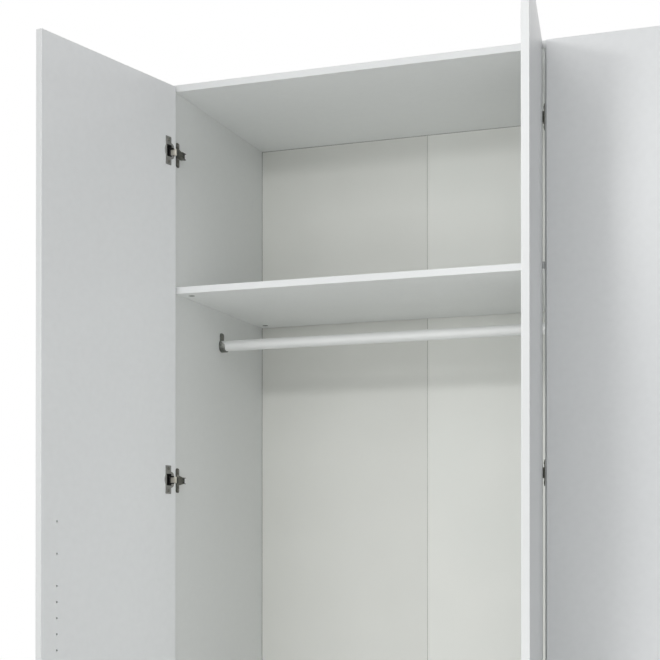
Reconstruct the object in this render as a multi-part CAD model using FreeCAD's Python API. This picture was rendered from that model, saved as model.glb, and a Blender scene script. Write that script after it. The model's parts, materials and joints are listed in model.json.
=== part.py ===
"""Blind-corner wardrobe: a board carcass with two hinged doors, a fixed blind panel, a hat shelf and a rail.

Millimetres. X runs along the front from left to right, Y from front to back, Z up from the floor.
The origin is on the floor in the middle of the carcass. The doors are built shut and then opened.
"""
import FreeCAD
import Part
import math
import os
from collections import namedtuple

Vector = FreeCAD.Vector
ALONG_X = Vector(1, 0, 0)
ALONG_Y = Vector(0, 1, 0)
UP = Vector(0, 0, 1)

# Shared sizes
board = 15.0
edge_round = 0.8
fit = 0.05
seat_gap = 0.3
overrun = 2.0

# Carcass
carcass_width = 1410.0
carcass_depth = 516.0
carcass_height = 2080.0
plinth_height = 65.0
plinth_setback = 30.0
rear_plinth_setback = 20.0
shelf_drop = 447.0
shelf_setback = 1.0
stile_depth = 100.0
stile_setback = 1.0

# Back sheets, their grooves and the strips that join them
back_thick = 3.0
back_set_in = 11.5
groove_depth = 7.0
groove_play = 0.2
sheet_play = 0.5
first_seam = 436.0
second_seam = 908.0
strip_flange_width = 7.0
strip_flange_thick = 1.0
strip_web = 1.0

# Fronts
door_board = 15.0
door_width = 419.5
door_standoff = 5.5
door_drop = 6.0
door_lift = 4.0
side_reveal = 0.5
middle_gap = 3.0
blind_gap = 4.0
stile_overlay = 3.5
left_opening_deg = 102.9
right_opening_deg = 98.4

# Pilot holes for handles, and the handle
pilot_edge = 45.0
pilot_drop = 968.0
pilot_pitch = 32.0
pilot_steps = (0, 2, 4, 5, 6, 7, 8)
pilot_radius = 2.5
pilot_depth = 10.0
handle_top_step = 9
handle_steps = 4
grip_radius = 6.0
grip_overhang = 16.0
grip_standoff = 28.0
post_radius = 4.5
handle_screw_radius = 2.0
handle_screw_head_radius = 4.0
handle_screw_head = 2.4
handle_screw_bite = 12.0

# Hinge: its swing line, its cup and what is in the cup. Each door's edge turns clear of the carcass front
first_hinge_drop = 147.0
second_hinge_drop = 868.0
left_swing_clearance = 2.18
right_swing_clearance = 0.58
door_skin = 2.0
cup_radius = 17.5
cup_edge_gap = 3.0
cup_floor_clearance = 0.4
cup_wall = 0.8
flange_end = 7.0
flange_width = 18.4
flange_shift = 5.8
flange_thick = 1.2
rim_width = 0.6
rim_clear = 8.0
pocket_end = 32.0
pocket_height = 26.0
mouth_end = 16.0
mouth_height = 17.0
cup_screw_span = 48.0
pin_radius = 1.2
pin_clearance = 0.05
knuckle_radius = 2.3
knuckle_width = 12.0
cheek_gap = 0.6
cheek_thick = 3.0
cheek_reach = 4.0
link_neck = 11.0

# Hinge: arm and mounting plate
left_plate_height = 7.5
right_plate_height = 11.7
right_arm_rise = 4.2
arm_thick = 1.6
arm_width = 14.0
arm_crank_start = 4.0
arm_crank_length = 7.0
arm_end = 29.0
arm_lip_height = 4.0
arm_lip_thick = 1.2
arm_front_screw = 14.5
arm_rear_screw = 22.5
plate_start = 3.0
plate_end = 31.5
plate_width = 22.0
plate_tail = 12.0
wing_start = 2.0
wing_width = 14.0
wing_end = 7.0
wing_thick = 2.0
wing_screw_inset = 8.0

# Small screws of the fittings
wood_screw_radius = 1.75
wood_screw_head_radius = 3.6
wood_screw_head = 1.8
wood_screw_length = 11.0
machine_screw_radius = 1.5
machine_screw_head_radius = 2.8
machine_screw_head = 1.5
machine_screw_length = 5.0

# Carcass screws, caps, dowels and cams
carcass_screw_radius = 2.5
carcass_screw_head_radius = 5.0
carcass_screw_head = 3.0
carcass_screw_length = 50.0
cap_radius = 6.5
cap_thick = 1.0
screw_from_edge = 60.0
dowel_radius = 4.0
dowel_length = 30.0
dowel_bite = 11.0
cam_radius = 7.5
cam_skin = 3.0
cam_from_end = 24.0
cam_front = 34.0
cam_rear = 36.0
cam_bolt_radius = 3.0
cam_bolt_bite = 11.0

# Rail, its end cups and its hanger
rail_radius = 12.5
rail_wall = 1.2
rail_below_shelf = 80.5
rail_back = 250.0
rail_end_play = 0.5
end_plate_thick = 2.5
end_tab_width = 19.0
end_tab_rise = 30.0
end_tab_corner = 6.0
cradle_wall = 2.6
cradle_length = 11.0
cradle_rise = 10.0
cradle_lip_rise = 3.0
end_screw_above = 20.5
hanger_offset = 30.0
hanger_length = 16.0
hanger_wall = 2.5
hanger_strap = 6.0
hanger_foot_end = 7.0
hanger_foot_thick = 2.5
hanger_screw_span = 30.0

# Blind panel brackets, wall brackets and glides
angle_leg = 30.0
angle_thick = 2.0
angle_width = 20.0
wall_leg = 34.0
wall_plate_width = 40.0
wall_plate_thick = 2.0
wall_hole_radius = 2.75
wall_hole_rise = 20.0
wall_bracket_inset = 220.0
glide_radius = 6.5
glide_height = 4.0
glide_nail_radius = 1.25
glide_nail_length = 14.0
glide_from_edge = 50.0

# Places worked out from the sizes above
left_out = -carcass_width / 2
left_in = left_out + board
right_out = carcass_width / 2
right_in = right_out - board
front = -carcass_depth / 2
rear = carcass_depth / 2
back_face = rear - back_set_in - back_thick
top_under = carcass_height - board
bottom_top = plinth_height + board
shelf_top = carcass_height - shelf_drop
shelf_under = shelf_top - board
door_face = front - door_standoff
door_top = carcass_height - door_drop
door_bottom = plinth_height + door_lift
left_edge = left_out + side_reveal
right_edge = left_edge + 2 * door_width + middle_gap
blind_left = right_edge + blind_gap
stile_left = right_edge - stile_overlay
stile_right = stile_left + board
cup_depth = door_board - door_skin
pivot_depth = cup_depth - cup_wall - cup_floor_clearance - knuckle_radius
swing_room = door_standoff + pivot_depth
left_pivot = math.sqrt((swing_room - left_swing_clearance) ** 2 - pivot_depth ** 2)
right_pivot = math.sqrt((swing_room - right_swing_clearance) ** 2 - pivot_depth ** 2)
cup_centre = cup_edge_gap + cup_radius
left_arm_reach = left_in + left_plate_height + arm_thick / 2 - left_edge - left_pivot
right_arm_reach = pivot_depth + arm_thick / 2 + right_arm_rise
cup_screw_place = cup_centre + flange_shift
flange_height = cup_screw_span + 2 * flange_end
wing_screw_span = cup_screw_span - wing_screw_inset
wing_height = wing_screw_span + 2 * wing_end
hanger_foot_width = hanger_screw_span + 2 * hanger_foot_end
lowest_hinge = door_bottom + first_hinge_drop
second_hinge = door_top - second_hinge_drop
hinge_heights = (
    door_top - first_hinge_drop,
    second_hinge,
    (second_hinge + lowest_hinge) / 2,
    lowest_hinge,
)
handle_top = door_top - pilot_drop - handle_top_step * pilot_pitch
handle_bottom = handle_top - handle_steps * pilot_pitch
rail_y = front + rail_back
rail_z = shelf_under - rail_below_shelf
cam_depth = board - cam_skin

# A door's hand: the X of its hinge edge when shut, the way from there to its free edge, its mounting wall,
# its opening, the distance of its pivot from the hinge edge, its arm's reach from there and its plate's height
Hand = namedtuple("Hand", "name edge way wall opening pivot reach plate")
left = Hand("left", left_edge, 1, left_in, -left_opening_deg, left_pivot, left_arm_reach,
            left_plate_height)
right = Hand("right", right_edge, -1, stile_left, right_opening_deg, right_pivot, right_arm_reach,
             right_plate_height)

nodes = {}


def slab(xs, ys, zs):
    """Box between two X, two Y and two Z values, in any order."""
    low = Vector(min(xs), min(ys), min(zs))
    high = Vector(max(xs), max(ys), max(zs))
    return Part.makeBox(high.x - low.x, high.y - low.y, high.z - low.z, low)


def rod(start, way, radius, length):
    """Round bar from a start point along a unit direction."""
    return Part.makeCylinder(radius, length, start, way)


def screw(seat, way, radius, length, head_radius, head):
    """Screw whose head stands on the seat point and whose shank runs along the direction."""
    return rod(seat, way, radius, length).fuse(rod(seat - way * head, way, head_radius, head))


def wood_screw(seat, way):
    return screw(seat, way, wood_screw_radius, wood_screw_length, wood_screw_head_radius, wood_screw_head)


def wood_screw_hole(seat, way):
    return rod(seat - way * overrun, way, wood_screw_radius + fit, wood_screw_length + fit + overrun)


def drill(shape, tools):
    """Shape less all the tools."""
    return shape.cut(tools) if tools else shape


def eased(shape):
    """Board with all its edges rounded, as edge banding leaves them."""
    return shape.makeFillet(edge_round, shape.Edges)


def front_eased(shape):
    """Board with only the long edges of its front rounded: its other edges meet other boards."""
    face = min(corner.Y for corner in shape.Vertexes)
    edges = [edge for edge in shape.Edges if all(corner.Y == face for corner in edge.Vertexes)]
    longest = max(edge.Length for edge in edges)
    return shape.makeFillet(edge_round, [edge for edge in edges if edge.Length > longest / 2])


def add(name, shapes):
    """Keep a node: one solid, or a group of separate solids."""
    nodes.setdefault(name, []).extend(shapes if isinstance(shapes, list) else [shapes])


def spread(start, stop, count):
    """Evenly spaced values from start to stop."""
    return [start + (stop - start) * i / (count - 1) for i in range(count)]


# Carcass screws: the head lies flush in a counterbore
def carcass_screw(seat, way):
    sunk = seat + way * carcass_screw_head
    shank = carcass_screw_length - carcass_screw_head
    return screw(sunk, way, carcass_screw_radius, shank, carcass_screw_head_radius, carcass_screw_head)


def carcass_screw_hole(seat, way):
    shank = rod(seat, way, carcass_screw_radius + fit, carcass_screw_length + fit)
    head = rod(seat - way * overrun, way, carcass_screw_head_radius + fit, carcass_screw_head + overrun)
    return shank.fuse(head)


screw_rows = (front + screw_from_edge, back_face - screw_from_edge)
stile_screw_y = front + (stile_setback + stile_depth) / 2
side_mids = (left_out + board / 2, right_in + board / 2)
top_seats = [Vector(x, y, carcass_height) for x in side_mids for y in screw_rows]
top_seats.append(Vector(stile_left + board / 2, stile_screw_y, carcass_height))
stile_foot_seat = Vector(stile_left + board / 2, stile_screw_y, plinth_height)
bottom_mid = plinth_height + board / 2
left_bottom_seats = [Vector(left_out, y, bottom_mid) for y in screw_rows]
right_bottom_seats = [Vector(right_out, y, bottom_mid) for y in screw_rows]
top_holes = [carcass_screw_hole(seat, -UP) for seat in top_seats]
bottom_holes = [carcass_screw_hole(seat, ALONG_X) for seat in left_bottom_seats]
bottom_holes += [carcass_screw_hole(seat, -ALONG_X) for seat in right_bottom_seats]
bottom_holes.append(carcass_screw_hole(stile_foot_seat, UP))


def carcass_screws():
    add("top_screws", [carcass_screw(seat, -UP) for seat in top_seats])
    add("bottom_screws", [carcass_screw(seat, ALONG_X) for seat in left_bottom_seats])
    add("bottom_screws", [carcass_screw(seat, -ALONG_X) for seat in right_bottom_seats])
    add("bottom_screws", carcass_screw(stile_foot_seat, UP))
    add("screw_caps", [rod(seat, -ALONG_X, cap_radius, cap_thick) for seat in left_bottom_seats])
    add("screw_caps", [rod(seat, ALONG_X, cap_radius, cap_thick) for seat in right_bottom_seats])


# Cam fittings at both ends of the hat shelf
cam_rows = (front + cam_front, back_face - cam_rear)
shelf_mid = shelf_under + board / 2
cam_ends = [(left_in, ALONG_X, y) for y in cam_rows] + [(right_in, -ALONG_X, y) for y in cam_rows]


def cam_bolt(wall, way, y, play):
    """Bolt from inside the side board to the middle of its cam."""
    start = Vector(wall, y, shelf_mid) - way * (cam_bolt_bite + play)
    return rod(start, way, cam_bolt_radius + play, cam_bolt_bite + cam_from_end + play)


def cam(wall, way, y, play):
    """Cam disc let into the underside of the shelf."""
    foot = Vector(wall, y, shelf_under) + way * cam_from_end
    return rod(foot, UP, cam_radius + play, cam_depth + play)


cam_bolt_holes = [cam_bolt(*end, fit) for end in cam_ends]


def shelf_fittings():
    add("shelf_cams", [cam(*end, 0).cut(cam_bolt(*end, fit)) for end in cam_ends])
    add("shelf_cam_bolts", [cam_bolt(*end, 0) for end in cam_ends])


# Dowels of the base
front_plinth_y = front + plinth_setback
rear_plinth_y = rear - rear_plinth_setback - board
dowel_heights = spread(glide_height, plinth_height, 4)[1:3]


def dowel(start, way, play):
    return rod(start - way * play, way, dowel_radius + play, dowel_length + 2 * play)


dowel_ends = []
for z in dowel_heights:
    for plinth_y in (front_plinth_y, rear_plinth_y):
        y = plinth_y + board / 2
        dowel_ends.append((Vector(left_in - dowel_bite, y, z), ALONG_X))
        dowel_ends.append((Vector(right_in + dowel_bite, y, z), -ALONG_X))
    dowel_ends.append((Vector(0, front_plinth_y + board - dowel_bite, z), ALONG_Y))
    dowel_ends.append((Vector(0, rear_plinth_y + dowel_bite, z), -ALONG_Y))
dowel_holes = [dowel(start, way, fit) for start, way in dowel_ends]

# Glides: one under each end of the side boards and one under the middle of the base
glide_rows = (front + glide_from_edge, rear - glide_from_edge)
glide_spots = [Vector(x, y, 0) for x in side_mids for y in glide_rows]
glide_spots.append(Vector(0, 0, 0))


def glide_nail(spot, play):
    return rod(spot + UP * glide_height, UP, glide_nail_radius + play, glide_nail_length + play)


def base():
    glide_holes = [glide_nail(spot, fit) for spot in glide_spots]
    tall = (glide_height, plinth_height)
    wide = (left_in, right_in)
    front_board = slab(wide, (front_plinth_y, front_plinth_y + board), tall)
    rear_board = slab(wide, (rear_plinth_y, rear_plinth_y + board), tall)
    cross = slab((-board / 2, board / 2), (front_plinth_y + board, rear_plinth_y), tall)
    add("front_plinth", drill(front_board, dowel_holes))
    add("rear_plinth", drill(rear_board, dowel_holes))
    add("plinth_cross_board", drill(cross, dowel_holes + glide_holes))
    add("plinth_dowels", [dowel(start, way, 0) for start, way in dowel_ends])
    add("floor_glides", [rod(spot, UP, glide_radius, glide_height).fuse(glide_nail(spot, 0))
                         for spot in glide_spots])
    return glide_holes


# Back sheets in grooves, joined by H strips
def groove():
    """Space round the edges of the back sheets."""
    xs = (left_in - groove_depth, right_in + groove_depth)
    ys = (back_face - groove_play, back_face + back_thick + groove_play)
    return slab(xs, ys, (bottom_top - groove_depth, top_under + groove_depth))


def back():
    seams = (left_in + first_seam, left_in + second_seam)
    edges = [left_in - groove_depth + sheet_play]
    for seam in seams:
        edges += [seam - strip_web / 2 - fit, seam + strip_web / 2 + fit]
    edges.append(right_in + groove_depth - sheet_play)
    tall = (bottom_top - groove_depth + sheet_play, top_under + groove_depth - sheet_play)
    deep = (back_face, back_face + back_thick)
    for i, name in enumerate(("back_left", "back_middle", "back_right")):
        add(name, slab(edges[2 * i:2 * i + 2], deep, tall))
    strip_tall = (bottom_top, top_under)
    for seam in seams:
        half = strip_flange_width / 2
        strip = slab((seam - strip_web / 2, seam + strip_web / 2), (deep[0] - fit, deep[1] + fit), strip_tall)
        for face, way in ((deep[0] - fit, -1), (deep[1] + fit, 1)):
            ys = (face, face + way * strip_flange_thick)
            strip = strip.fuse(slab((seam - half, seam + half), ys, strip_tall))
        add("back_joint_strips", strip)


# Rail with its end cups and its hanger
def rail():
    ends = (left_in + end_plate_thick + rail_end_play, right_in - end_plate_thick - rail_end_play)
    start = Vector(ends[0], rail_y, rail_z)
    length = ends[1] - ends[0]
    tube = rod(start, ALONG_X, rail_radius, length).cut(rod(start, ALONG_X, rail_radius - rail_wall, length))
    add("hanging_rail", tube)


def rail_end_seat(wall, way):
    return Vector(wall + way * end_plate_thick, rail_y, rail_z + end_screw_above)


def rail_end(wall, way):
    """Round wall plate with a screw tab and an open cradle: the rail is laid in from above."""
    half = end_tab_width / 2
    xs = (wall, wall + way * end_plate_thick)
    tab = slab(xs, (rail_y - half, rail_y + half), (rail_z, rail_z + end_tab_rise))
    top = [edge for edge in tab.Edges if edge.BoundBox.YLength < 1e-6 and edge.BoundBox.ZMin > rail_z + 1]
    tab = tab.makeFillet(end_tab_corner, [edge for edge in top if edge.BoundBox.ZLength < 1e-6])
    along = ALONG_X * way
    inner = rail_radius + fit
    outer = inner + cradle_wall
    disc = rod(Vector(wall, rail_y, rail_z), along, outer, end_plate_thick)
    axis = Vector(xs[1], rail_y, rail_z)
    ring = rod(axis, along, outer, cradle_length).cut(rod(axis, along, inner, cradle_length))
    lip = axis.x + way * cradle_length
    ring = ring.cut(slab((axis.x, lip), (rail_y - outer, rail_y + outer), (rail_z, rail_z + outer)))
    cheeks = []
    for y in (rail_y - outer, rail_y + inner):
        corners = [(axis.x, 0), (lip, 0), (lip, cradle_lip_rise), (axis.x, cradle_rise), (axis.x, 0)]
        outline = Part.makePolygon([Vector(x, y, rail_z + rise) for x, rise in corners])
        cheeks.append(Part.Face(outline).extrude(Vector(0, cradle_wall, 0)))
    hole = wood_screw_hole(rail_end_seat(wall, way), -along)
    return tab.fuse([disc, ring] + cheeks).removeSplitter().cut(hole)


def rail_hanger_seats():
    x = stile_right + hanger_offset
    z = shelf_under - hanger_foot_thick
    return [Vector(x, rail_y + side * hanger_screw_span / 2, z) for side in (-1, 1)]


def rail_hanger():
    """Ring round the rail on a strap under the shelf."""
    x = stile_right + hanger_offset
    xs = (x - hanger_length / 2, x + hanger_length / 2)
    axis = Vector(xs[0], rail_y, rail_z)
    half = hanger_foot_width / 2
    foot = slab(xs, (rail_y - half, rail_y + half), (shelf_under - hanger_foot_thick, shelf_under))
    strap = slab(xs, (rail_y - hanger_strap / 2, rail_y + hanger_strap / 2), (rail_z, shelf_under))
    ring = rod(axis, ALONG_X, rail_radius + fit + hanger_wall, hanger_length)
    bore = rod(axis, ALONG_X, rail_radius + fit, hanger_length)
    holes = [wood_screw_hole(seat, UP) for seat in rail_hanger_seats()]
    return drill(ring.fuse([strap, foot]), [bore] + holes)


def rail_fittings():
    add("rail_end_left", rail_end(left_in, 1))
    add("rail_end_right", rail_end(right_in, -1))
    add("rail_hanger", rail_hanger())
    add("rail_screws", wood_screw(rail_end_seat(left_in, 1), -ALONG_X))
    add("rail_screws", wood_screw(rail_end_seat(right_in, -1), ALONG_X))
    add("rail_screws", [wood_screw(seat, UP) for seat in rail_hanger_seats()])


# Steel angles that hold the blind panel to the stile and to the right side
def blind_bracket(wall, way, z):
    zs = (z - angle_width / 2, z + angle_width / 2)
    on_panel = slab((wall, wall + way * angle_leg), (door_face, door_face + angle_thick), zs)
    on_wall = slab((wall, wall + way * angle_thick), (door_face, door_face + angle_leg), zs)
    holes = [wood_screw_hole(seat, along) for seat, along in blind_bracket_screws(wall, way, z)]
    return drill(on_panel.fuse(on_wall), holes)


def blind_bracket_screws(wall, way, z):
    """Seats and directions of a bracket's two screws."""
    reach = (angle_thick + angle_leg) / 2
    into_panel = (Vector(wall + way * reach, door_face + angle_thick, z), -ALONG_Y)
    into_wall = (Vector(wall + way * angle_thick, door_face + reach, z), ALONG_X * -way)
    return into_panel, into_wall


blind_walls = ((stile_right, 1), (right_in, -1))
blind_bracket_places = [(wall, way, z) for wall, way in blind_walls for z in hinge_heights]
blind_screw_list = [pair for place in blind_bracket_places for pair in blind_bracket_screws(*place)]
blind_screw_holes = [wood_screw_hole(seat, way) for seat, way in blind_screw_list]


def blind_front():
    wide = (blind_left, right_out - side_reveal)
    panel = slab(wide, (door_face, door_face - door_board), (door_bottom, door_top))
    add("blind_panel", drill(eased(panel), blind_screw_holes))
    add("blind_panel_brackets", [blind_bracket(*place) for place in blind_bracket_places])
    add("blind_bracket_screws", [wood_screw(seat, way) for seat, way in blind_screw_list])


# Tip guards on top of the carcass at the rear
wall_bracket_xs = (left_out + wall_bracket_inset, right_out - wall_bracket_inset)


def wall_bracket_seat(x):
    return Vector(x, rear - wall_leg / 2, carcass_height + wall_plate_thick)


def wall_brackets():
    for x in wall_bracket_xs:
        xs = (x - wall_plate_width / 2, x + wall_plate_width / 2)
        flat = slab(xs, (rear - wall_leg, rear), (carcass_height, carcass_height + wall_plate_thick))
        tall = slab(xs, (rear - wall_plate_thick, rear), (carcass_height, carcass_height + wall_leg))
        hole_start = Vector(x, rear - wall_leg, carcass_height + wall_hole_rise)
        wall_hole = rod(hole_start, ALONG_Y, wall_hole_radius, wall_leg + overrun)
        seat = wall_bracket_seat(x)
        add("wall_brackets", drill(flat.fuse(tall), [wall_hole, wood_screw_hole(seat, -UP)]))
        add("wall_bracket_screws", wood_screw(seat, -UP))


# Hinges, drawn in a shut door's own terms: distance from its hinge edge, and depth below its inner face
def at(hand, from_edge, depth, z):
    return Vector(hand.edge + hand.way * from_edge, door_face - depth, z)


def door_slab(hand, from_edge, depth, zs):
    xs = [hand.edge + hand.way * distance for distance in from_edge]
    return slab(xs, [door_face - d for d in depth], zs)


def cup_screw_seats(hand, z):
    return [at(hand, cup_screw_place, -flange_thick, z + side * cup_screw_span / 2) for side in (-1, 1)]


def cup_pocket(hand, z):
    """Space in the cup: a tall pocket for the arm, and a lower mouth at the hinge edge for its link."""
    depths = (-flange_thick, cup_depth - cup_wall)
    tall = door_slab(hand, (mouth_end, pocket_end), depths, (z - pocket_height / 2, z + pocket_height / 2))
    low = door_slab(hand, (0, mouth_end), depths, (z - mouth_height / 2, z + mouth_height / 2))
    mouth = at(hand, cup_centre, -flange_thick, z)
    bore = rod(mouth, -ALONG_Y, cup_radius - cup_wall, cup_depth + flange_thick)
    return tall.fuse(low).common(bore)


def hinge_cup(hand, z):
    """Round cup with a flange on the door and two cheeks inside that hold the hinge pin."""
    mouth = at(hand, cup_centre, -flange_thick, z)
    inward = -ALONG_Y
    body = rod(at(hand, cup_centre, 0, z), inward, cup_radius, cup_depth)
    cheek_start = knuckle_width / 2 + cheek_gap
    cheek_depths = (pivot_depth - knuckle_radius, cup_depth)
    cheeks = []
    for side in (-1, 1):
        zs = (z + side * cheek_start, z + side * (cheek_start + cheek_thick))
        cheek = door_slab(hand, (cup_edge_gap, hand.pivot + cheek_reach), cheek_depths, zs)
        cheeks.append(cheek.common(body))
    flange_low = cup_screw_place - flange_width / 2
    flange_zs = (z - flange_height / 2, z + flange_height / 2)
    flange = door_slab(hand, (flange_low, flange_low + flange_width), (-flange_thick, 0), flange_zs)
    rim = rod(mouth, inward, cup_radius + rim_width, flange_thick)
    rim = rim.cut(door_slab(hand, (-cup_radius, rim_clear), (-2 * flange_thick, flange_thick), flange_zs))
    shell = body.fuse([flange, rim]).cut(cup_pocket(hand, z)).fuse(cheeks)
    screw_holes = [wood_screw_hole(seat, inward) for seat in cup_screw_seats(hand, z)]
    return drill(shell, [hinge_pin(hand, z)] + screw_holes)


def hinge_pin(hand, z):
    half = knuckle_width / 2 + cheek_gap + cheek_thick
    return rod(at(hand, hand.pivot, pivot_depth, z - half), UP, pin_radius, 2 * half)


def strip(points, z, width):
    """Bent strip of the arm's thickness along a line of points, as wide as given along Z."""
    low = UP * (z - width / 2)
    line = [Vector(p.x, p.y, 0) + low for p in points]
    pieces = [rod(p, UP, arm_thick / 2, width) for p in line]
    for start, stop in zip(line, line[1:]):
        across = (stop - start).cross(UP).normalize() * (arm_thick / 2)
        corners = [start + across, stop + across, stop - across, start - across, start + across]
        pieces.append(Part.Face(Part.makePolygon(corners)).extrude(UP * width))
    return pieces[0].fuse(pieces[1:]).removeSplitter()


def arm_screw_seats(hand, z):
    x = hand.wall + hand.way * (hand.plate + arm_thick)
    return [Vector(x, front + place, z) for place in (arm_front_screw, arm_rear_screw)]


def arm_screw_hole(hand, seat):
    along = ALONG_X * -hand.way
    depth = machine_screw_length + fit + overrun
    return rod(seat - along * overrun, along, machine_screw_radius + fit, depth)


def hinge_arm(hand, z):
    """Arm from the knuckle on the pin, out of the cup and back along the mounting plate."""
    pivot = at(hand, hand.pivot, pivot_depth, z)
    elbow = at(hand, hand.pivot + hand.reach, pivot_depth, z)
    neck = at(hand, hand.pivot + link_neck, pivot_depth, z)
    line = hand.wall + hand.way * (hand.plate + arm_thick / 2)
    crank = Vector(elbow.x, front + arm_crank_start, z)
    landing = Vector(line, front + arm_crank_start + arm_crank_length, z)
    end = Vector(line, front + arm_end, z)
    path = [neck, elbow, crank, landing, end] if abs(crank.x - line) > fit else [neck, elbow, end]
    knuckle_low = pivot - UP * (knuckle_width / 2)
    lips = []
    for side in (-1, 1):
        zs = (z + side * arm_width / 2, z + side * (arm_width / 2 - arm_lip_thick))
        lips.append(slab((line, line + hand.way * arm_lip_height), (landing.y, end.y), zs))
    body = strip(path, z, arm_width).fuse([strip([pivot, elbow], z, knuckle_width)] + lips)
    body = body.fuse(rod(knuckle_low, UP, knuckle_radius, knuckle_width))
    bore = rod(knuckle_low, UP, pin_radius + pin_clearance, knuckle_width)
    return drill(body, [bore] + [arm_screw_hole(hand, seat) for seat in arm_screw_seats(hand, z)])


def plate_screw_seats(hand, z):
    x = hand.wall + hand.way * wing_thick
    y = front + wing_start + wing_width / 2
    return [Vector(x, y, z + side * wing_screw_span / 2) for side in (-1, 1)]


def hinge_plate(hand, z):
    """Cross-shaped plate: a raised bar that tapers under the arm, and two wings with screws."""
    ends = [(plate_start, -plate_width), (plate_end, -plate_tail)]
    ends += [(place, -width) for place, width in reversed(ends)]
    corners = [Vector(hand.wall, front + place, z + width / 2) for place, width in ends]
    outline = Part.Face(Part.makePolygon(corners + corners[:1]))
    bar = outline.extrude(ALONG_X * (hand.way * hand.plate))
    wing_ys = (front + wing_start, front + wing_start + wing_width)
    wings = slab((hand.wall, hand.wall + hand.way * wing_thick), wing_ys,
                 (z - wing_height / 2, z + wing_height / 2))
    along = ALONG_X * -hand.way
    holes = [wood_screw_hole(seat, along) for seat in plate_screw_seats(hand, z)]
    holes += [arm_screw_hole(hand, seat) for seat in arm_screw_seats(hand, z)]
    return drill(bar.fuse(wings), holes)


def arm_screw(hand, seat):
    return screw(seat, ALONG_X * -hand.way, machine_screw_radius, machine_screw_length,
                 machine_screw_head_radius, machine_screw_head)


def plate_screw_holes(hand):
    along = ALONG_X * -hand.way
    return [wood_screw_hole(seat, along) for z in hinge_heights for seat in plate_screw_seats(hand, z)]


def hinges_on_carcass(hand):
    along = ALONG_X * -hand.way
    for z in hinge_heights:
        add(hand.name + "_hinge_plates", hinge_plate(hand, z))
        add(hand.name + "_hinge_arms", hinge_arm(hand, z))
        add(hand.name + "_plate_screws", [wood_screw(seat, along) for seat in plate_screw_seats(hand, z)])
        add(hand.name + "_arm_screws", [arm_screw(hand, seat) for seat in arm_screw_seats(hand, z)])


# Doors with their cups and handles
def opened(hand, shape):
    """Copy of a shut door's piece, turned on the hinge line to the door's resting opening."""
    turned = shape.copy()
    turned.rotate(at(hand, hand.pivot, pivot_depth, 0), UP, hand.opening)
    return turned


def handle_spots(hand):
    """Inner-face points of the two handle screws."""
    return [at(hand, door_width - pilot_edge, 0, z) for z in (handle_top, handle_bottom)]


def door_leaf(hand):
    leaf = eased(door_slab(hand, (0, door_width), (0, door_board), (door_bottom, door_top)))
    inward = -ALONG_Y
    cup_hole_depth = cup_depth + fit + overrun
    handle_hole_depth = door_board + 2 * overrun
    holes = []
    for z in hinge_heights:
        holes.append(rod(at(hand, cup_centre, -overrun, z), inward, cup_radius + fit, cup_hole_depth))
        holes += [wood_screw_hole(seat, inward) for seat in cup_screw_seats(hand, z)]
    for step in pilot_steps:
        spot = at(hand, door_width - pilot_edge, -overrun, door_top - pilot_drop - step * pilot_pitch)
        holes.append(rod(spot, inward, pilot_radius, pilot_depth + overrun))
    for spot in handle_spots(hand):
        holes.append(rod(spot - inward * overrun, inward, handle_screw_radius + fit, handle_hole_depth))
    return drill(leaf, holes)


def handle_screw(spot, play):
    length = door_board + handle_screw_bite + play
    radius = handle_screw_radius + play
    return screw(spot, -ALONG_Y, radius, length, handle_screw_head_radius, handle_screw_head)


def handle(hand):
    """Grip bar, its two posts and the two screws from inside the door."""
    low = at(hand, door_width - pilot_edge, door_board + grip_standoff, handle_bottom - grip_overhang)
    grip = rod(low, UP, grip_radius, handle_top - handle_bottom + 2 * grip_overhang)
    posts = []
    screws = []
    for spot in handle_spots(hand):
        post = rod(spot - ALONG_Y * door_board, -ALONG_Y, post_radius, grip_standoff)
        posts.append(drill(post, [grip, handle_screw(spot, fit)]))
        screws.append(handle_screw(spot, 0))
    return {"handle_grip": [grip], "handle_posts": posts, "handle_screws": screws}


def door(hand):
    pieces = {"door": [door_leaf(hand)]}
    pieces["hinge_cups"] = [hinge_cup(hand, z) for z in hinge_heights]
    pieces["hinge_pins"] = [hinge_pin(hand, z) for z in hinge_heights]
    pieces["cup_screws"] = [wood_screw(s, -ALONG_Y) for z in hinge_heights for s in cup_screw_seats(hand, z)]
    pieces.update(handle(hand))
    for name, shapes in pieces.items():
        add(hand.name + "_" + name, [opened(hand, shape) for shape in shapes])


# Boards of the carcass
def side_boards(glide_holes):
    tall = (glide_height, top_under)
    deep = (front, rear)
    shared = top_holes + bottom_holes + cam_bolt_holes + dowel_holes + glide_holes + [groove()]
    left_holes = plate_screw_holes(left) + [wood_screw_hole(rail_end_seat(left_in, 1), -ALONG_X)]
    right_holes = blind_screw_holes + [wood_screw_hole(rail_end_seat(right_in, -1), ALONG_X)]
    left_board = front_eased(slab((left_out, left_in), deep, tall))
    right_board = front_eased(slab((right_in, right_out), deep, tall))
    add("left_side", drill(left_board, shared + left_holes))
    add("right_side", drill(right_board, shared + right_holes))


def level_boards():
    deep = (front, rear)
    top = front_eased(slab((left_out, right_out), deep, (top_under, carcass_height)))
    guard_holes = [wood_screw_hole(wall_bracket_seat(x), -UP) for x in wall_bracket_xs]
    add("top_panel", drill(top, top_holes + guard_holes + [groove()]))
    bottom = front_eased(slab((left_in, right_in), deep, (plinth_height, bottom_top)))
    add("bottom_panel", drill(bottom, bottom_holes + [groove()]))


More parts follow.
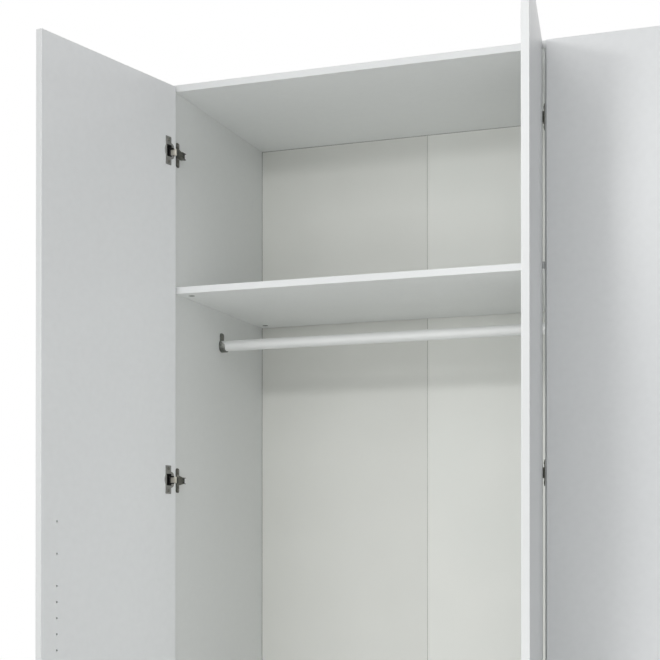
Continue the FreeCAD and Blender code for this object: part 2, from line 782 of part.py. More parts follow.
def hat_shelf():
    """Shelf notched round the stile, with its back edge clear of the joint strips."""
    back_edge = back_face - fit - strip_flange_thick - seat_gap
    deep = (front + shelf_setback, back_edge)
    shelf = front_eased(slab((left_in, right_in), deep, (shelf_under, shelf_top)))
    notch = slab((stile_left - seat_gap, stile_right + seat_gap),
                 (front - overrun, front + stile_depth + seat_gap), (shelf_under, shelf_top))
    cams = [cam(*end, fit) for end in cam_ends]
    hanger_holes = [wood_screw_hole(seat, UP) for seat in rail_hanger_seats()]
    add("hat_shelf", drill(shelf, [notch] + cams + cam_bolt_holes + hanger_holes))


def hinge_stile():
    deep = (front + stile_setback, front + stile_depth)
    stile = front_eased(slab((stile_left, stile_right), deep, (bottom_top, top_under)))
    add("hinge_stile", drill(stile, top_holes + bottom_holes + plate_screw_holes(right) + blind_screw_holes))


def build():
    glide_holes = base()
    side_boards(glide_holes)
    level_boards()
    hat_shelf()
    hinge_stile()
    back()
    carcass_screws()
    shelf_fittings()
    rail()
    rail_fittings()
    blind_front()
    wall_brackets()
    for hand in (left, right):
        hinges_on_carcass(hand)
        door(hand)


def export():
    os.makedirs("parts", exist_ok=True)
    for name, shapes in nodes.items():
        shape = shapes[0] if len(shapes) == 1 else Part.makeCompound(shapes)
        shape.exportStep("parts/" + name + ".step")
        print(name, len(shape.Solids), "solids")


build()
export()
print(len(nodes), "nodes")
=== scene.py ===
"""Looks of the blind-corner wardrobe: its finishes, hinges, rail fittings, handles, caps and glides."""
import json
import math
from collections import namedtuple

import bmesh
import bpy
from mathutils import Matrix, Vector


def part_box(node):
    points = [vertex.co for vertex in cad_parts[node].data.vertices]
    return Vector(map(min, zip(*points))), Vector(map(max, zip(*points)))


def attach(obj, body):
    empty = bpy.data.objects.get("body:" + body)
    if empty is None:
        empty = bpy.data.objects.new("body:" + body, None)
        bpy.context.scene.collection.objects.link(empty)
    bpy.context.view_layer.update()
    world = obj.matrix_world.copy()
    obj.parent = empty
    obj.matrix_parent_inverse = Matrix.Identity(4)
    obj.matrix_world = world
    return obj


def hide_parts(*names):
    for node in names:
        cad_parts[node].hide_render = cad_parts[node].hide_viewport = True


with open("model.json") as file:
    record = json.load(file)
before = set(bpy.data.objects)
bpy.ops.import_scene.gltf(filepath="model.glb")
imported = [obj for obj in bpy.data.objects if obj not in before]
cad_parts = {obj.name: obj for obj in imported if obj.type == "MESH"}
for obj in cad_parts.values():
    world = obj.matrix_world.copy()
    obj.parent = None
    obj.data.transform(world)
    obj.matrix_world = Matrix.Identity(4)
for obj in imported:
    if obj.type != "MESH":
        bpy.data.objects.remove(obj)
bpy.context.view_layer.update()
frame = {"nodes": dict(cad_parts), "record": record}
cad = frame["nodes"]
record = frame["record"]
slot_of = {row["node"]: row["material_slot"] for row in record["subparts"]}
body_of = {node: body for body, nodes in record["behaviour"]["bodies"].items() for node in nodes}

MM = 0.001
UP = Vector((0, 0, 1))
TOUCH = 0.002 * MM
# Folds over this angle are edges, and faces within this one are flat
SHARP = math.radians(32)
FLAT = math.radians(1)
LATHE_STEPS = 28
CORNER_STEPS = 6
EASE_STEPS = 2

# Share of a noise pattern's range over which a tone drifts from dark to light
DRIFT_FROM, DRIFT_TO = 0.2, 0.8

# Sides of a board as it stands at rest, and how squarely a face has to look that way to get that side's tone
# of painted light and shade
SIDES = {"front": (0, -1, 0), "left": (-1, 0, 0), "right": (1, 0, 0)}
FACING = 0.8

# Places of the colour sockets in a Mix node
FACTOR, COLOUR_A, COLOUR_B, MIXED = 0, 6, 7, 2

# Width of a brushed streak as a share of its length
STREAK_SHARE = 0.02

# Painted shade along the joint between the back sheets and the boards, where a sheet goes into its groove: the
# width of the dark line, and its tone
PAINTED_LINE_WIDTH = 1.1 * MM
PAINTED_JOINT_SHADE = "#8e8e88"


# Colours and shader nodes. Sizes and depths of patterns are in millimetres. Pearl emboss, fibres, mould grain,
# brush marks and pits are too fine to show, so they are drawn coarser than they are
def paint(code):
    """Linear colour of an sRGB hex code."""
    parts = [int(code[i:i + 2], 16) / 255 for i in (1, 3, 5)]
    return [p / 12.92 if p <= 0.04045 else ((p + 0.055) / 1.055) ** 2.4 for p in parts] + [1.0]


def put(tree, kind, sockets, **settings):
    """Add a node with its settings. A socket gets a value, or a link where an output is given."""
    node = tree.nodes.new(kind)
    for name, value in settings.items():
        setattr(node, name, value)
    for key, value in sockets.items():
        if isinstance(value, bpy.types.NodeSocket):
            tree.links.new(value, node.inputs[key])
        else:
            node.inputs[key].default_value = value
    return node


def per_metre(millimetres):
    """Texture scale that gives features of this size."""
    return 1 / (millimetres * MM)


def new_finish(name):
    """Empty material: its node tree, its shader and the object's own coordinates."""
    material = bpy.data.materials.new(name)
    material.use_nodes = True
    tree = material.node_tree
    shader = tree.nodes["Principled BSDF"]
    place = put(tree, "ShaderNodeTexCoord", {}).outputs["Object"]
    return material, tree, shader, place


def mottle(tree, shader, place, size, dark, light):
    """Colour that drifts between two near tones over patches of this size."""
    drift = put(tree, "ShaderNodeTexNoise", {"Vector": place, "Scale": per_metre(size), "Detail": 1.0})
    ramp = put(tree, "ShaderNodeValToRGB", {"Fac": drift.outputs["Fac"]})
    ramp.color_ramp.elements[0].position = DRIFT_FROM
    ramp.color_ramp.elements[1].position = DRIFT_TO
    ramp.color_ramp.elements[0].color = paint(dark)
    ramp.color_ramp.elements[1].color = paint(light)
    tree.links.new(ramp.outputs["Color"], shader.inputs["Base Color"])
    return ramp.outputs["Color"]


def satin(tree, shader, place, size, low, high):
    """Roughness that drifts between two values over patches of this size."""
    drift = put(tree, "ShaderNodeTexNoise", {"Vector": place, "Scale": per_metre(size), "Detail": 2.0})
    span = put(tree, "ShaderNodeMapRange", {"Value": drift.outputs["Fac"], "To Min": low, "To Max": high})
    tree.links.new(span.outputs["Result"], shader.inputs["Roughness"])


def relief(tree, shader, height, depth, strength):
    """Bump of this depth from a height pattern."""
    bump = put(tree, "ShaderNodeBump", {"Height": height, "Distance": depth * MM, "Strength": strength})
    tree.links.new(bump.outputs["Normal"], shader.inputs["Normal"])


def melamine(name, dark, light, rough, **painted_side_tones):
    """White melamine on chipboard: a low sheen over a faint pearl emboss, with tones of painted light and
    shade on some sides.
    """
    material, tree, shader, place = new_finish(name)
    face = mottle(tree, shader, place, size=14, dark=dark, light=light)
    for side, tone in painted_side_tones.items():
        # Painted light and shade: faces that look squarely to a side take that side's tone
        ways = put(tree, "ShaderNodeTexCoord", {}).outputs["Normal"]
        facing = put(tree, "ShaderNodeVectorMath", {0: ways, 1: SIDES[side]}, operation="DOT_PRODUCT")
        there = put(tree, "ShaderNodeMath", {0: facing.outputs["Value"], 1: FACING}, operation="GREATER_THAN")
        mix = {FACTOR: there.outputs["Value"], COLOUR_A: face, COLOUR_B: paint(tone)}
        face = put(tree, "ShaderNodeMix", mix, data_type="RGBA").outputs[MIXED]
        tree.links.new(face, shader.inputs["Base Color"])
    satin(tree, shader, place, size=60, low=rough[0], high=rough[1])
    pearl = put(tree, "ShaderNodeTexNoise", {"Vector": place, "Scale": per_metre(3.0), "Detail": 2.0})
    relief(tree, shader, pearl.outputs["Fac"], depth=0.02, strength=0.2)
    return material


def hardboard(name, dark, light):
    """White lacquered hardboard: flat lacquer over pressed fibres, and a line of painted shade along its
    grooves.
    """
    material, tree, shader, place = new_finish(name)
    face = mottle(tree, shader, place, size=180, dark=dark, light=light)
    along = put(tree, "ShaderNodeSeparateXYZ", {"Vector": place}).outputs
    left_in, top_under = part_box("left_side")[1][0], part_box("top_panel")[0][2]
    # Painted shade: a thin dark line on the sheet beside the left side and under the top
    beside = put(tree, "ShaderNodeMath", {0: along["X"], 1: left_in + PAINTED_LINE_WIDTH}, operation="LESS_THAN")
    above = put(tree, "ShaderNodeMath", {0: along["Z"], 1: top_under - PAINTED_LINE_WIDTH}, operation="GREATER_THAN")
    sides = {0: beside.outputs["Value"], 1: above.outputs["Value"]}
    joint = put(tree, "ShaderNodeMath", sides, operation="MAXIMUM")
    mix = {FACTOR: joint.outputs["Value"], COLOUR_A: face, COLOUR_B: paint(PAINTED_JOINT_SHADE)}
    both = put(tree, "ShaderNodeMix", mix, data_type="RGBA")
    tree.links.new(both.outputs[MIXED], shader.inputs["Base Color"])
    satin(tree, shader, place, size=60, low=0.48, high=0.6)
    fibres = put(tree, "ShaderNodeTexNoise", {"Vector": place, "Scale": per_metre(4.0), "Detail": 4.0})
    relief(tree, shader, fibres.outputs["Fac"], depth=0.08, strength=0.4)
    return material


def plastic(name, dark, light):
    """Moulded plastic: a soft sheen and a fine spark-eroded grain."""
    material, tree, shader, place = new_finish(name)
    mottle(tree, shader, place, size=25, dark=dark, light=light)
    satin(tree, shader, place, size=12, low=0.42, high=0.55)
    grain = put(tree, "ShaderNodeTexVoronoi", {"Vector": place, "Scale": per_metre(0.8)})
    relief(tree, shader, grain.outputs["Distance"], depth=0.03, strength=0.3)
    return material


def powder_coat():
    """White powder coat on steel tube: glossy with a soft orange peel."""
    material, tree, shader, place = new_finish("white_powder_coat")
    mottle(tree, shader, place, size=120, dark="#eceeed", light="#f0f1f0")
    satin(tree, shader, place, size=40, low=0.29, high=0.36)
    peel = put(tree, "ShaderNodeTexNoise", {"Vector": place, "Scale": per_metre(2.2), "Detail": 1.0})
    relief(tree, shader, peel.outputs["Fac"], depth=0.04, strength=0.3)
    return material


def metal(name, dark, light, size, rough, grain, depth, metallic=1.0):
    """Bare or plated metal whose tone, gloss and grain drift over the piece."""
    material, tree, shader, place = new_finish(name)
    shader.inputs["Metallic"].default_value = metallic
    mottle(tree, shader, place, size, dark, light)
    satin(tree, shader, place, size, low=rough[0], high=rough[1])
    pits = put(tree, "ShaderNodeTexNoise", {"Vector": place, "Scale": per_metre(grain), "Detail": 3.0})
    relief(tree, shader, pits.outputs["Fac"], depth, strength=0.4)
    return material


def brushed_steel():
    """Stainless bar brushed along its length: fine streaks that stretch the highlights."""
    material, tree, shader, place = new_finish("brushed_stainless_steel")
    shader.inputs["Metallic"].default_value = 1.0
    shader.inputs["Anisotropic"].default_value = 0.5
    mottle(tree, shader, place, size=30, dark="#9c9c9a", light="#b4b4b1")
    stretch = put(tree, "ShaderNodeMapping", {"Vector": place, "Scale": (1.0, 1.0, STREAK_SHARE)})
    streaks = put(tree, "ShaderNodeTexNoise", {"Vector": stretch.outputs["Vector"], "Scale": per_metre(0.5)})
    span = put(tree, "ShaderNodeMapRange", {"Value": streaks.outputs["Fac"], "To Min": 0.29, "To Max": 0.45})
    tree.links.new(span.outputs["Result"], shader.inputs["Roughness"])
    relief(tree, shader, streaks.outputs["Fac"], depth=0.02, strength=0.5)
    return material


def beech():
    """Turned beech dowel: pale wood with short darker flecks along the grain."""
    material, tree, shader, place = new_finish("turned_beech")
    mottle(tree, shader, place, size=6, dark="#b58a5c", light="#d0a878")
    satin(tree, shader, place, size=5, low=0.55, high=0.7)
    flecks = put(tree, "ShaderNodeTexNoise", {"Vector": place, "Scale": per_metre(1.0), "Detail": 4.0})
    relief(tree, shader, flecks.outputs["Fac"], depth=0.1, strength=0.4)
    return material


# Tones of the edge bands on the boards and the doors, and of the foil on the doors' outer faces, each set so
# that the edge or face renders about as light as it looks in the photo. All are painted light and shade: the
# boards' band and the outer foil are painted darker than the faces, the left door's band darker still, and the
# right door's band lighter
BOARD_BAND_PAINTED_DARKER = "#e2e4e4"
LEFT_BAND_PAINTED_DARKER = "#d7d9d9"
RIGHT_BAND_PAINTED_LIGHTER = "#e8eaea"
FRONT_FOIL_PAINTED_DARKER = "#eaeced"

# Roughness of the fronts, which shine softly, and of the boards, which are duller
FRONT_SHEEN = (0.29, 0.32)
BOARD_SHEEN = (0.38, 0.42)

# The finish of each material slot
finishes = {
    "white_melamine": melamine("white_melamine_on_chipboard", "#eef0ef", "#f0f2f1", BOARD_SHEEN),
    "white_hardboard": hardboard("white_lacquered_hardboard", "#e3e4df", "#e7e8e3"),
    "white_plastic": plastic("white_moulded_polypropylene", "#e4e5e2", "#ecedea"),
    "grey_plastic": plastic("grey_moulded_polyethylene", "#5c5d5f", "#6a6b6d"),
    "white_tube": powder_coat(),
    "beech": beech(),
    "die_cast_zinc": metal("die_cast_zinc", "#777975", "#8b8d88", size=8, rough=(0.38, 0.5), grain=0.6,
                           depth=0.05),
    "brushed_handle": brushed_steel(),
    "nickel_steel": metal("nickel_plated_pressed_steel", "#7d7b76", "#93918b", size=12, rough=(0.28, 0.42),
                          grain=0.5, depth=0.03),
}

# Melamine of single pieces: the panel is the cooler white of a front; the doors are painted whiter inside than
# the boards, as painted light
panel_melamine = melamine("white_melamine_of_the_blind_panel", "#e8eaeb", "#ebedee", FRONT_SHEEN)
left_melamine = melamine("white_melamine_of_the_left_door", "#f4f6f7", "#f7f9fa", FRONT_SHEEN,
                         front=LEFT_BAND_PAINTED_DARKER, left=FRONT_FOIL_PAINTED_DARKER)
right_melamine = melamine("white_melamine_of_the_right_door", "#f4f6f7", "#f7f9fa", FRONT_SHEEN,
                          front=RIGHT_BAND_PAINTED_LIGHTER, right=FRONT_FOIL_PAINTED_DARKER)
board_melamine = melamine("white_melamine_of_the_boards", "#eef0ef", "#f0f2f1", BOARD_SHEEN, front=BOARD_BAND_PAINTED_DARKER)

# Hardboard of the middle and right sheets, painted whiter than the left sheet as painted light on the back's
# right part
painted_lighter_hardboard = hardboard("white_lacquered_hardboard_painted_lighter", "#eceee9", "#f0f1ec")

# Hinge metals: links painted lighter than the cups' nickel as painted light, greyer cups, and dark covers and
# plates
painted_light_nickel = metal("nickel_of_the_links_painted_lighter", "#c8c5b9", "#d8d5ca", size=12, rough=(0.42, 0.5),
                      grain=0.5, depth=0.03, metallic=0.5)
dull_nickel = metal("dull_nickel_of_the_cups", "#989896", "#a8a8a5", size=12, rough=(0.36, 0.48), grain=0.5,
                    depth=0.03)
blackened_steel = metal("blackened_steel_of_the_arm_covers", "#5f5f59", "#74746d", size=10, rough=(0.36, 0.5),
                        grain=0.5, depth=0.04)

# Painted shade: black inside the hinges, and grey in the groove of the joint strips
black_painted_shade = plastic("black_painted_shade_in_the_hinges", "#0c0c0b", "#141413")
grey_groove_painted_shade = plastic("grey_painted_shade_of_the_strip_groove", "#b4b5af", "#bdbeb8")
own_finish = {
    "left_door": left_melamine, "right_door": right_melamine, "blind_panel": panel_melamine,
    **dict.fromkeys(("left_side", "right_side", "top_panel", "hat_shelf", "hinge_stile"), board_melamine),
    "back_middle": painted_lighter_hardboard, "back_right": painted_lighter_hardboard,
}
for node, target in cad.items():
    target.data.materials.clear()
    target.data.materials.append(own_finish.get(node, finishes[slot_of[node]]))


# Shapes taken from the frame
def rest_turn(node):
    """Turn that takes a shut door's piece to its place at rest. What the carcass carries stays as it is."""
    for joint in record["behaviour"]["joints"]:
        if joint["child"] == body_of[node]:
            pivot = Matrix.Translation(joint["pos_m"])
            swing = Matrix.Rotation(math.radians(-joint["range_deg"][0]), 4, Vector(joint["axis"]))
            return pivot @ swing @ pivot.inverted()
    return Matrix()


def merged(node):
    """Copy of a node's mesh with its triangles joined and its flat faces whole."""
    shape = bmesh.new()
    shape.from_mesh(cad[node].data)
    bmesh.ops.remove_doubles(shape, verts=shape.verts[:], dist=TOUCH)
    bmesh.ops.dissolve_limit(shape, angle_limit=FLAT, verts=shape.verts[:], edges=shape.edges[:])
    return shape


def groups(shape):
    """Vertices of each separate solid in a shape."""
    shape.verts.index_update()
    seen = set()
    found = []
    for start in shape.verts:
        if start.index in seen:
            continue
        seen.add(start.index)
        group = [start]
        for vert in group:
            for edge in vert.link_edges:
                other = edge.other_vert(vert)
                if other.index not in seen:
                    seen.add(other.index)
                    group.append(other)
        found.append(group)
    return found


def solids(node):
    """Corner points of each solid of a node, with its door shut."""
    shape = merged(node)
    shut = rest_turn(node).inverted()
    found = [[shut @ vert.co for vert in group] for group in groups(shape)]
    shape.free()
    return found


def span(points):
    """Lowest and highest corners of the box round some points."""
    return [Vector([pick(point[i] for point in points) for i in range(3)]) for pick in (min, max)]


def softened(node, ease, corner=0.0, thin=0.0):
    """Copy of a node whose edges are rounded. Corners of plates up to a thickness get their own radius."""
    shape = merged(node)
    if corner:
        ends = {}
        for group in groups(shape):
            low, high = span([vert.co for vert in group])
            for vert in group:
                ends[vert.index] = min(vert.co.z - low.z, high.z - vert.co.z) < TOUCH
        short = [edge for edge in shape.edges if edge.calc_length() < thin * MM]
        tips = [edge for edge in short if all(ends[vert.index] for vert in edge.verts)]
        bmesh.ops.bevel(shape, geom=tips, offset=corner * MM, affect="EDGES", segments=CORNER_STEPS,
                        profile=0.5, material=-1)
    folds = [edge for edge in shape.edges if edge.is_manifold and edge.calc_face_angle() > SHARP]
    bmesh.ops.bevel(shape, geom=folds, offset=ease * MM, affect="EDGES", segments=EASE_STEPS, profile=0.5,
                    material=-1, clamp_overlap=True)
    return shape


# Shapes made on a lathe round +Z
def lathe(profile):
    """Profile of radii and heights, in metres, spun to a full turn."""
    shape = bmesh.new()
    points = [shape.verts.new((radius, 0, height)) for radius, height in profile]
    edges = [shape.edges.new(pair) for pair in zip(points, points[1:])]
    bmesh.ops.spin(shape, geom=points + edges, cent=(0, 0, 0), axis=UP, angle=2 * math.pi, steps=LATHE_STEPS,
                   use_merge=True)
    bmesh.ops.remove_doubles(shape, verts=shape.verts[:], dist=TOUCH)
    bmesh.ops.recalc_face_normals(shape, faces=shape.faces[:])
    return shape


def cross_recess(shape, depth):
    """Close the open top of a turned shape with a cross-shaped drive recess."""
    ring = [edge for edge in shape.edges if edge.is_boundary]
    reach = ring[0].verts[0].co.xy.length
    top = ring[0].verts[0].co.z
    arm, half = 0.9 * reach, 0.24 * reach
    quarter = [(half, half), (half, arm), (-half, arm)]
    turns = ((1, 0), (0, 1), (-1, 0), (0, -1))
    corners = [(x * c - y * s, x * s + y * c) for c, s in turns for x, y in quarter]
    cross = shape.faces.new([shape.verts.new((x, y, top)) for x, y in corners])
    bmesh.ops.bridge_loops(shape, edges=ring + cross.edges[:])
    bmesh.ops.inset_individual(shape, faces=[cross], thickness=0.1 * half, depth=-depth)
    bmesh.ops.recalc_face_normals(shape, faces=shape.faces[:])


def stand(shape, place, way, turn):
    """Set a lathe shape on a place with its +Z along a direction, then turn it with its door."""
    local = Matrix.Translation(place) @ way.to_track_quat("Z", "Y").to_matrix().to_4x4()
    bmesh.ops.transform(shape, matrix=turn @ local, verts=shape.verts[:])
    return shape


def gather(shapes):
    """Join shapes into one."""
    whole = bmesh.new()
    for shape in shapes:
        mesh = bpy.data.meshes.new("joined")
        shape.to_mesh(mesh)
        shape.free()
        whole.from_mesh(mesh)
        bpy.data.meshes.remove(mesh)
    return whole


def zoned(shape, pick):
    """Number each face with the finish that a function picks for it."""
    for face in shape.faces:
        face.material_index = pick(face)
    return shape


def piece(name, node, shape, *coats):
    """Finished piece that stands for a node, rides on the node's body and takes the node's slot."""
    mesh = bpy.data.meshes.new(name)
    shape.to_mesh(mesh)
    shape.free()
    mesh.shade_smooth()
    mesh.set_sharp_from_angle(angle=SHARP)
    for coat in coats or [finishes[slot_of[node]]]:
        mesh.materials.append(coat)
    made = bpy.data.objects.new(name, mesh)
    bpy.context.scene.collection.objects.link(made)
    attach(made, body_of[node])
    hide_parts(node)


# Screws with a rounded head and a cross recess
Screw = namedtuple("Screw", "seat out head_radius head radius length")


def screw_sizes(points):
    """Measure a screw: its head's seat, the way out of the head, and its sizes."""
    low, high = span(points)
    size = high - low
    axis = min(range(3), key=lambda i: abs(size[(i + 1) % 3] - size[(i + 2) % 3]))
    centre = (low + high) / 2

    def off_axis(point):
        across = point - centre
        across[axis] = 0
        return across.length

    ends = [(low[axis], 1), (high[axis], -1)]
    widths = [max(off_axis(p) for p in points if abs(p[axis] - end) < TOUCH) for end, _ in ends]
    wide = widths.index(max(widths))
    head_radius, radius = widths[wide], widths[1 - wide]
    top, inward = ends[wide]
    rim = [abs(p[axis] - top) for p in points if off_axis(p) > (head_radius + radius) / 2]
    out = Vector((0, 0, 0))
    out[axis] = -inward
    seat = centre.copy()
    seat[axis] = top + inward * max(rim)
    return Screw(seat, out, head_radius, max(rim), radius, size[axis] - max(rim))


def pan_screw(screw):
    """One screw: a rounded head with a cross recess on a pointed shank."""
    wide, tall, thin = screw.head_radius, screw.head, screw.radius
    shape = lathe([
        (0.5 * wide, tall), (0.78 * wide, 0.93 * tall), (0.95 * wide, 0.68 * tall), (wide, 0.34 * tall),
        (wide, 0), (thin, 0), (thin, -0.8 * screw.length), (0, -screw.length),
    ])
    cross_recess(shape, 0.5 * tall)
    return shape


def pan_screws(node):
    """All the screws of a node. Those of the hinge arms are as dark as the arms."""
    turn = rest_turn(node)
    screws = [screw_sizes(points) for points in solids(node)]
    whole = gather(stand(pan_screw(s), s.seat, s.out, turn) for s in screws)
    piece(node + "_with_recess", node, whole, blackened_steel if "arm" in node else finishes[slot_of[node]])


for node in cad:
    if node.endswith("_screws"):
        pan_screws(node)


# Turned fittings, whose profiles are shares of their own radius and height
def cam_discs():
    """Cams of the hat shelf: flat discs with a cross recess, flush with its underside."""
    shapes = []
    for points in solids("shelf_cams"):
        low, high = span(points)
        wide, tall = (high.x - low.x) / 2, high.z - low.z
        shape = lathe([(0.55 * wide, 0), (0.92 * wide, 0), (wide, -0.08 * wide), (wide, -tall), (0, -tall)])
        cross_recess(shape, 0.25 * tall)
        mid = (low + high) / 2
        shapes.append(stand(shape, Vector((mid.x, mid.y, low.z)), -UP, Matrix()))
    piece("shelf_cam_discs", "shelf_cams", gather(shapes))


def cover_caps():
    """Domed covers over the screws low on the outer sides."""
    shapes = []
    for points in solids("screw_caps"):
        low, high = span(points)
        wide, tall = (high.y - low.y) / 2, high.x - low.x
        mid = (low + high) / 2
        out = Vector((math.copysign(1, mid.x), 0, 0))
        profile = [(0, tall), (0.45 * wide, 0.94 * tall), (0.8 * wide, 0.7 * tall), (0.97 * wide, 0.3 * tall),
                   (wide, 0), (0, 0)]
        shapes.append(stand(lathe(profile), mid - out * tall / 2, out, Matrix()))
    piece("domed_screw_caps", "screw_caps", gather(shapes))


def nail_glides():
    """Glides with a rounded foot and a nail that holds them in the board."""
    shapes = []
    for points in solids("floor_glides"):
        s = screw_sizes(points)
        wide, tall = s.head_radius, s.head
        profile = [(0, tall), (0.7 * wide, tall), (0.92 * wide, 0.88 * tall), (wide, 0.6 * tall), (wide, 0),
                   (s.radius, 0), (s.radius, -0.8 * s.length), (0, -s.length)]
        shapes.append(stand(lathe(profile), s.seat, s.out, Matrix()))
    piece("rounded_floor_glides", "floor_glides", gather(shapes))


def grip_bar(node):
    """Round bar with eased ends."""
    turn = rest_turn(node)
    shapes = []
    for points in solids(node):
        low, high = span(points)
        wide, tall = (high.x - low.x) / 2, high.z - low.z
        ease = 0.25 * wide
        curve = [math.radians(90 * i / 5) for i in range(6)]
        foot = [(wide - ease + ease * math.sin(a), ease - ease * math.cos(a)) for a in curve]
        head = [(radius, tall - height) for radius, height in reversed(foot)]
        profile = [(0, 0)] + foot + head + [(0, tall)]
        mid = (low + high) / 2
        shapes.append(stand(lathe(profile), Vector((mid.x, mid.y, low.z)), UP, turn))
    piece(node + "_bar", node, gather(shapes))


cam_discs()
cover_caps()
nail_glides()
for side in ("left", "right"):
    grip_bar(side + "_handle_grip")


# Hinges: places along an arm, in millimetres behind the carcass front, where its finish changes
LINK_END = -10.6
SLOT_SHADE_END = -3.1
POCKET_START = 18.5
KNUCKLE_DARK = 2.6
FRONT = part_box("left_side")[0][1]

# How squarely a face at an arm's end has to look away from the wall to be the pocket's
POCKET_FACING = 0.9


def hinge_cups(side):
    """Pressed cups: nickel on the door's face, and black painted shade inside."""
    node = side + "_hinge_cups"
    shut = rest_turn(node).inverted()
    door_face = max(point.y for points in solids(side + "_door") for point in points)
    shape = softened(node, 0.2, corner=1.2, thin=3.0)
    # Painted shade: the faces inside the cup, behind the door's face, take the black
    zoned(shape, lambda face: int((shut @ face.calc_center_median()).y < door_face - TOUCH))
    piece(node + "_pressed", node, shape, dull_nickel, black_painted_shade)


def hinge_arms(side):
    """Arms: a link painted light where it comes out of the cup, black painted shade over the slot and at the
    pivot, and a dark cover whose pocket at its end is painted black as shade.
    """
    node = side + "_hinge_arms"
    joint = next(row for row in record["behaviour"]["joints"] if row["child"] == side + "_leaf")
    pin = joint["pos_m"][0]
    way = 1 if side == "left" else -1
    ends = [FRONT + place * MM for place in (LINK_END, SLOT_SHADE_END, POCKET_START)]
    cuts = [((0, end, 0), (0, 1, 0)) for end in ends] + [((pin + way * KNUCKLE_DARK * MM, 0, 0), (1, 0, 0))]
    shape = softened(node, 0.25)
    for place, normal in cuts:
        every = shape.verts[:] + shape.edges[:] + shape.faces[:]
        bmesh.ops.bisect_plane(shape, geom=every, dist=TOUCH, plane_co=place, plane_no=normal)

    # Painted light and shade: the link takes the light nickel; the slot band, the faces at the pivot and the
    # pocket's faces take the black
    def zone(face):
        mid = face.calc_center_median()
        if way * (mid.x - pin) < KNUCKLE_DARK * MM or ends[0] < mid.y < ends[1]:
            return 1
        if mid.y < ends[0]:
            return 0
        return 1 if mid.y > ends[2] and way * face.normal.x > POCKET_FACING else 2

    shape.normal_update()
    piece(node + "_pressed", node, zoned(shape, zone), painted_light_nickel, black_painted_shade, blackened_steel)


# Pressed and cast fittings: the solids with their edges rounded
def pressed_fittings():
    """Hinges, handle posts, rail ends, hanger and brackets."""
    for side in ("left", "right"):
        hinge_cups(side)
        hinge_arms(side)
        plates = side + "_hinge_plates"
        piece(plates + "_cast", plates, softened(plates, 0.4, corner=4.5, thin=3.0), blackened_steel)
        posts = side + "_handle_posts"
        piece(posts + "_eased", posts, softened(posts, 0.3))
    for node in ("rail_end_left", "rail_end_right"):
        piece(node + "_cast", node, softened(node, 0.5))
    piece("rail_hanger_moulded", "rail_hanger", softened("rail_hanger", 0.6))
    for node in ("blind_panel_brackets", "wall_brackets"):
        piece(node + "_bent", node, softened(node, 0.5))


# Section of a joint strip's front as shares of its half width and its flange: a groove left of the middle
STRIP_SHARES = ((-1, 0.7), (-0.8, 0.2), (-0.62, 0.05), (-0.58, 0.9), (-0.12, 0.9), (-0.08, 0.05), (0.3, 0),
                (0.7, 0.2), (1, 0.7))
GROOVE_SHARE = 0.5
GROOVE_LEFT = -0.7
REAR_CROWN = 0.7


def grooved_strips():
    """Strips that join the back sheets: an H section with a crowned face and a groove in its front painted
    grey as shade.
    """
    shapes = []
    for points in solids("back_joint_strips"):
        low, high = span(points)
        mid = (low + high) / 2
        half = (high.x - low.x) / 2
        web = min(abs(point.x - mid.x) for point in points)
        inner = min(point.y for point in points if abs(abs(point.x - mid.x) - web) < TOUCH)
        outer = max(point.y for point in points if abs(abs(point.x - mid.x) - web) < TOUCH)
        crown = [i / 4 for i in range(-4, 5)]
        flange = inner - low.y
        face = [(across * half, low.y + flange * depth) for across, depth in STRIP_SHARES]
        rear = [(-t * half, high.y - (high.y - outer) * REAR_CROWN * t * t) for t in crown]
        outline = face + [(half, inner), (web, inner), (web, outer), (half, outer)]
        outline += rear + [(-half, outer), (-web, outer), (-web, inner), (-half, inner)]
        shape = bmesh.new()
        section = shape.faces.new([shape.verts.new((mid.x + x, y, low.z)) for x, y in outline])
        raised = bmesh.ops.extrude_face_region(shape, geom=[section])["geom"]
        tops = [part for part in raised if isinstance(part, bmesh.types.BMVert)]
        bmesh.ops.translate(shape, verts=tops, vec=UP * (high.z - low.z))
        bmesh.ops.recalc_face_normals(shape, faces=shape.faces[:])
        # Painted shade: the sunk faces in the left part of the groove take the grey
        for facet in shape.faces:
            mid_facet = facet.calc_center_median()
            sunk = low.y + GROOVE_SHARE * flange - TOUCH < mid_facet.y < inner - TOUCH
            facet.material_index = int(sunk and GROOVE_LEFT * half < mid_facet.x - mid.x < 0)
        shapes.append(shape)
    piece("grooved_joint_strips", "back_joint_strips", gather(shapes), painted_lighter_hardboard, grey_groove_painted_shade)


pressed_fittings()
grooved_strips()

# Studio: floor, camera and lights
FLOOR_HALF = 3.2
FLOOR_ROUGHNESS = 0.7
FOCAL_PX = 1460.9
PRINCIPAL_Y_PX = 554.76
FRAME_PX = 660
SENSOR = 36.0
CAMERA_PLACE = (0.7223, -3.1772, 1.0225)
CAMERA_YAW = 0.345
CAMERA_PITCH = 0.006


# Softboxes: where they stand, where they look, their size in metres, and watts
MIDDLE = (0.0, 0.0, 1.3)
SOFTBOXES = {
    "key": ((-0.35, -2.62, 2.31), MIDDLE, (0.4, 0.2), 8.8),
    "front_left": ((-2.385, -3.816, 1.2), MIDDLE, (1.8, 1.8), 26.8),
    "front_high": ((-0.25, -4.45, 3.4), MIDDLE, (3.6, 1.8), 40.0),
    "front_low": ((0.0, -3.5, 0.3), (0.0, 0.0, 1.5), (3.0, 0.6), 21.0),
    "left_wall": ((-3.686, -2.581, 1.2), MIDDLE, (1.8, 1.8), 13.4),
    "right_wall": ((3.686, -2.581, 1.2), MIDDLE, (1.8, 1.8), 25.0),
    "ceiling": ((0.0, -1.8, 4.6), (0.0, -0.3, 0.0), (4.0, 3.0), 38.0),
    "rear_left": ((-2.25, 3.897, 2.2), MIDDLE, (1.8, 1.8), 60.0),
    "rear_right": ((2.25, 3.897, 2.2), MIDDLE, (1.8, 1.8), 60.0),
}


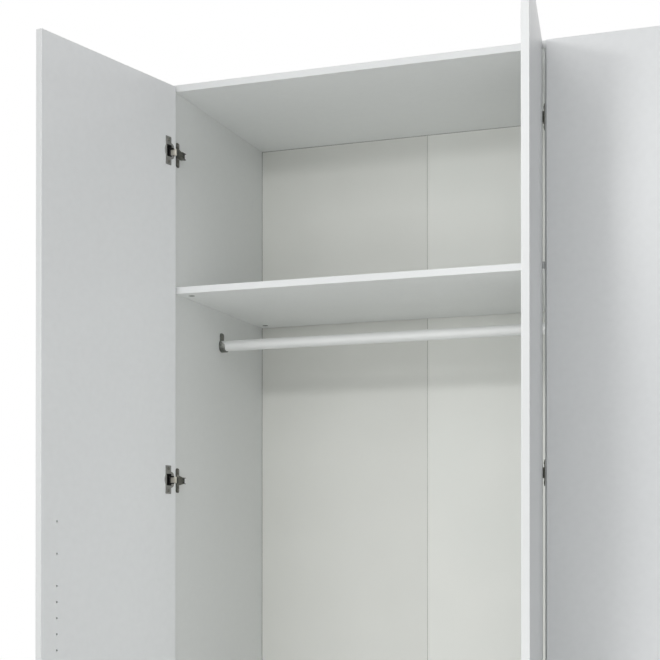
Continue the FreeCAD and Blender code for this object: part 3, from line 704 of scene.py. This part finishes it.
def studio_floor():
    """Plain pale floor."""
    mesh = bpy.data.meshes.new("studio_floor")
    shape = bmesh.new()
    bmesh.ops.create_grid(shape, x_segments=1, y_segments=1, size=FLOOR_HALF)
    shape.to_mesh(mesh)
    shape.free()
    floor = bpy.data.objects.new("studio_floor", mesh)
    bpy.context.scene.collection.objects.link(floor)
    material, tree, shader, place = new_finish("pale_studio_floor")
    mottle(tree, shader, place, size=700, dark="#e6e6e4", light="#ebebe9")
    shader.inputs["Roughness"].default_value = FLOOR_ROUGHNESS
    mesh.materials.append(material)


def photo_camera():
    """Camera at the photo's viewing angle, shifted up as the photo is framed."""
    lens = bpy.data.cameras.new("photo_camera")
    lens.sensor_width = SENSOR
    lens.lens = FOCAL_PX / FRAME_PX * SENSOR
    lens.shift_y = (PRINCIPAL_Y_PX - FRAME_PX / 2) / FRAME_PX
    camera = bpy.data.objects.new("photo_camera", lens)
    camera.location = CAMERA_PLACE
    camera.rotation_euler = (math.pi / 2 + CAMERA_PITCH, 0, CAMERA_YAW)
    bpy.context.scene.collection.objects.link(camera)
    bpy.context.scene.camera = camera


def softbox(name, place, aim, size, watts):
    """Rectangular light that looks at a point."""
    lamp = bpy.data.lights.new(name, "AREA")
    lamp.shape = "RECTANGLE"
    lamp.size, lamp.size_y = size
    lamp.energy = watts
    light = bpy.data.objects.new(name, lamp)
    light.location = place
    light.rotation_euler = (Vector(aim) - Vector(place)).to_track_quat("-Z", "Y").to_euler()
    light.visible_camera = False
    bpy.context.scene.collection.objects.link(light)


def white_surround(glow, backdrop):
    """White surround: as bright as the backdrop where it is seen or mirrored, and dimmer as a light."""
    world = bpy.data.worlds.new("white_surround")
    world.use_nodes = True
    tree = world.node_tree
    rays = put(tree, "ShaderNodeLightPath", {}).outputs
    either = {0: rays["Is Camera Ray"], 1: rays["Is Glossy Ray"]}
    seen = put(tree, "ShaderNodeMath", either, operation="MAXIMUM")
    levels = {"Value": seen.outputs["Value"], "To Min": glow, "To Max": backdrop}
    strength = put(tree, "ShaderNodeMapRange", levels)
    tree.nodes["Background"].inputs["Color"].default_value = (1, 1, 1, 1)
    tree.links.new(strength.outputs["Result"], tree.nodes["Background"].inputs["Strength"])
    bpy.context.scene.world = world


studio_floor()
photo_camera()
white_surround(glow=0.03, backdrop=1.0)
for name, row in SOFTBOXES.items():
    softbox(name, *row)
bpy.context.scene.view_settings.view_transform = "Standard"
